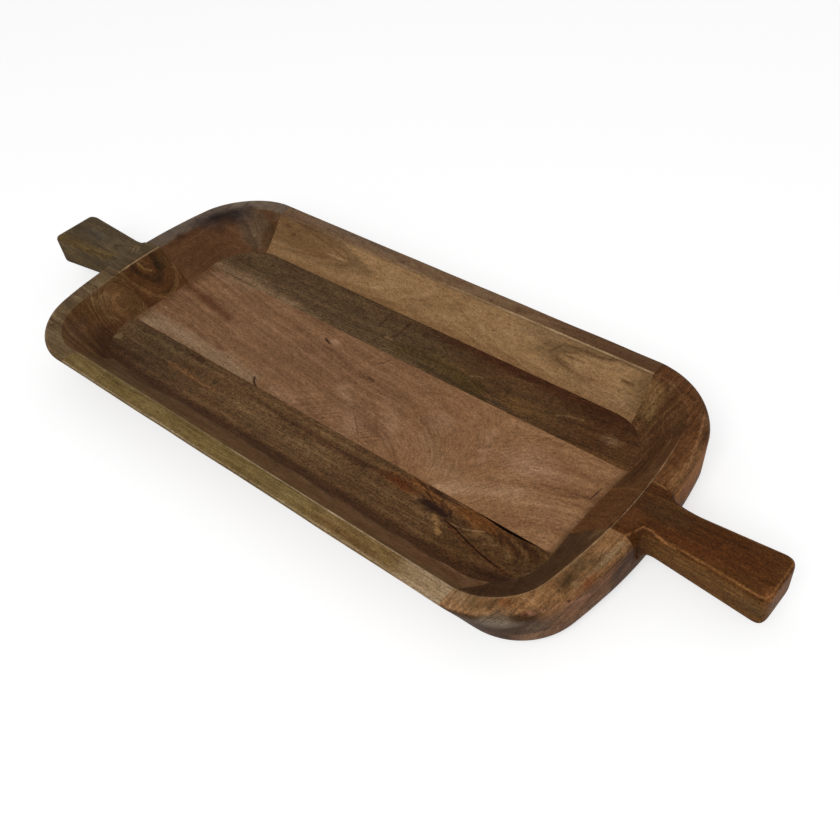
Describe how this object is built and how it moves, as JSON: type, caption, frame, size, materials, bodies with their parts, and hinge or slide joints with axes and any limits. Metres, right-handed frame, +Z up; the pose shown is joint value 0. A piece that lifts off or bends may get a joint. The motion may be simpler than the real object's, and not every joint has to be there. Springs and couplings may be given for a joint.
{
  "type": "dough tray",
  "caption": "Long shallow carved wooden tray with rounded corners, sloping walls and a flared bar handle at each end.",
  "frame": {"origin": "on the flat underside, below the middle of the whole length and width", "axes": "+X along the tray towards the longer handle, +Y across it, +Z up"},
  "size_m": [0.8042, 0.2904, 0.051],
  "materials": {
    "dark_olive_wood": "oiled satin, dark streaks and a knot",
    "pink_tan_wood": "oiled satin, wavy cathedral figure",
    "dark_brown_wood": "oiled satin, fine straight grain",
    "yellow_olive_wood": "oiled satin, straight grain",
    "golden_wood": "oiled satin, straight grain with a knot figure",
    "ringed_brown_wood": "oiled satin, ring figure",
    "red_brown_wood": "oiled satin, dark stain",
    "mottled_tan_wood": "oiled satin, mottled",
    "rust_brown_wood": "oiled satin, streaked",
    "grey_olive_wood": "oiled satin, eye knot",
    "deep_red_wood": "oiled satin, fine grain"
  },
  "bodies": {
    "root": {"base_board_near": "dark_olive_wood", "base_board_centre": "pink_tan_wood", "base_board_far": "dark_brown_wood", "side_rail_near": "yellow_olive_wood", "side_rail_far": "golden_wood", "corner_block_near_left": "ringed_brown_wood", "corner_block_far_left": "red_brown_wood", "corner_block_near_right": "mottled_tan_wood", "corner_block_far_right": "rust_brown_wood", "handle_left": "grey_olive_wood", "handle_right": "deep_red_wood"}
  },
  "joints": []
}
